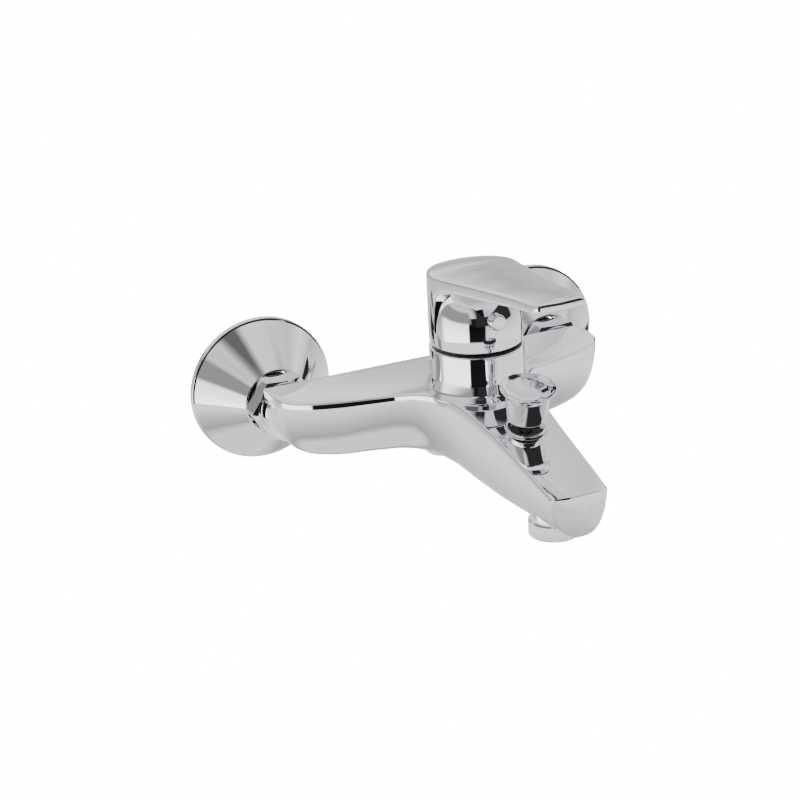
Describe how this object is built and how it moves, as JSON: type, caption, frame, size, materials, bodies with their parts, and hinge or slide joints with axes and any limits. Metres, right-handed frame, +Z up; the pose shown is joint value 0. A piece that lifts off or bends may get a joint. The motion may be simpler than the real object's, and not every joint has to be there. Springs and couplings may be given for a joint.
{
  "type": "wall mounted bath faucet",
  "caption": "Wall mounted bath mixer with a lever over a round housing, a sloping spout, a pull-up diverter knob and cone wall plates.",
  "frame": {"origin": "on the finished wall plane, midway between the two wall inlets, at the height of their centres", "axes": "+X to the viewer's right along the wall, +Y into the wall, +Z up; the spout points towards -Y"},
  "size_m": [0.2236, 0.219, 0.1248],
  "materials": {
    "brass": "machined brass",
    "ceramic": null,
    "chrome": "polished chrome plating",
    "fibre": "pressed fibre gasket",
    "plastic_dark": "moulded plastic",
    "plastic_grey": "moulded plastic",
    "plastic_pale": "moulded plastic",
    "rubber": "moulded rubber",
    "steel": "stainless steel"
  },
  "bodies": {
    "mixer_body": {"body_casting": "chrome", "escutcheon_left": "chrome", "escutcheon_right": "chrome", "s_union_left": "brass", "s_union_right": "brass", "union_washer_left": "fibre", "union_washer_right": "fibre", "nonreturn_valve_left": "plastic_grey", "nonreturn_valve_right": "plastic_grey", "nonreturn_valve_shower": "plastic_grey", "cartridge_gasket": "rubber", "cartridge_base": "plastic_grey", "ceramic_disc_fixed": "ceramic", "cartridge_shell": "plastic_pale", "cartridge_nut": "brass", "trim_ring": "plastic_dark", "diverter_bonnet": "chrome", "diverter_spring": "steel", "aerator_housing": "chrome", "aerator_insert": "plastic_pale", "aerator_washer": "rubber"},
    "nut_left": {"union_nut_left": "chrome"},
    "nut_right": {"union_nut_right": "chrome"},
    "rotor": {"cartridge_rotor": "plastic_dark", "pivot_pin": "steel"},
    "lever": {"lever_handle": "chrome", "lever_spindle": "brass", "set_screw": "steel", "index_plug": "chrome"},
    "disc_slider": {"disc_carrier": "plastic_dark", "ceramic_disc_moving": "ceramic"},
    "diverter": {"diverter_knob": "chrome", "diverter_stem": "steel", "diverter_plunger": "brass", "diverter_seal": "rubber"}
  },
  "joints": [
    {"name": "lever_swivel", "type": "hinge", "parent": "mixer_body", "child": "rotor", "pos_m": [0, -0.099, 0.042], "axis": [0, 0, 1], "range_deg": [-45, 45]},
    {"name": "lever_lift", "type": "hinge", "parent": "rotor", "child": "lever", "pos_m": [0, -0.099, 0.042], "axis": [-1, 0, 0], "range_deg": [0, 18]},
    {"name": "disc_slide", "type": "slide", "parent": "rotor", "child": "disc_slider", "axis": [0, -1, 0], "range_m": [0, 0.004]},
    {"name": "diverter_pull", "type": "slide", "parent": "mixer_body", "child": "diverter", "axis": [0, -0.1736, 0.9848], "range_m": [0, 0.006], "stiffness_N_per_m": 200, "springref_m": -0.008, "deforming": ["diverter_spring"]},
    {"name": "nut_turn_left", "type": "hinge", "parent": "mixer_body", "child": "nut_left", "pos_m": [-0.075, -0.031, 0], "axis": [0, 1, 0], "continuous": true},
    {"name": "nut_turn_right", "type": "hinge", "parent": "mixer_body", "child": "nut_right", "pos_m": [0.075, -0.031, 0], "axis": [0, 1, 0], "continuous": true}
  ],
  "couplings": [
    {"joint": "disc_slide", "follows": "lever_lift", "m_per_rad": 0.012}
  ]
}
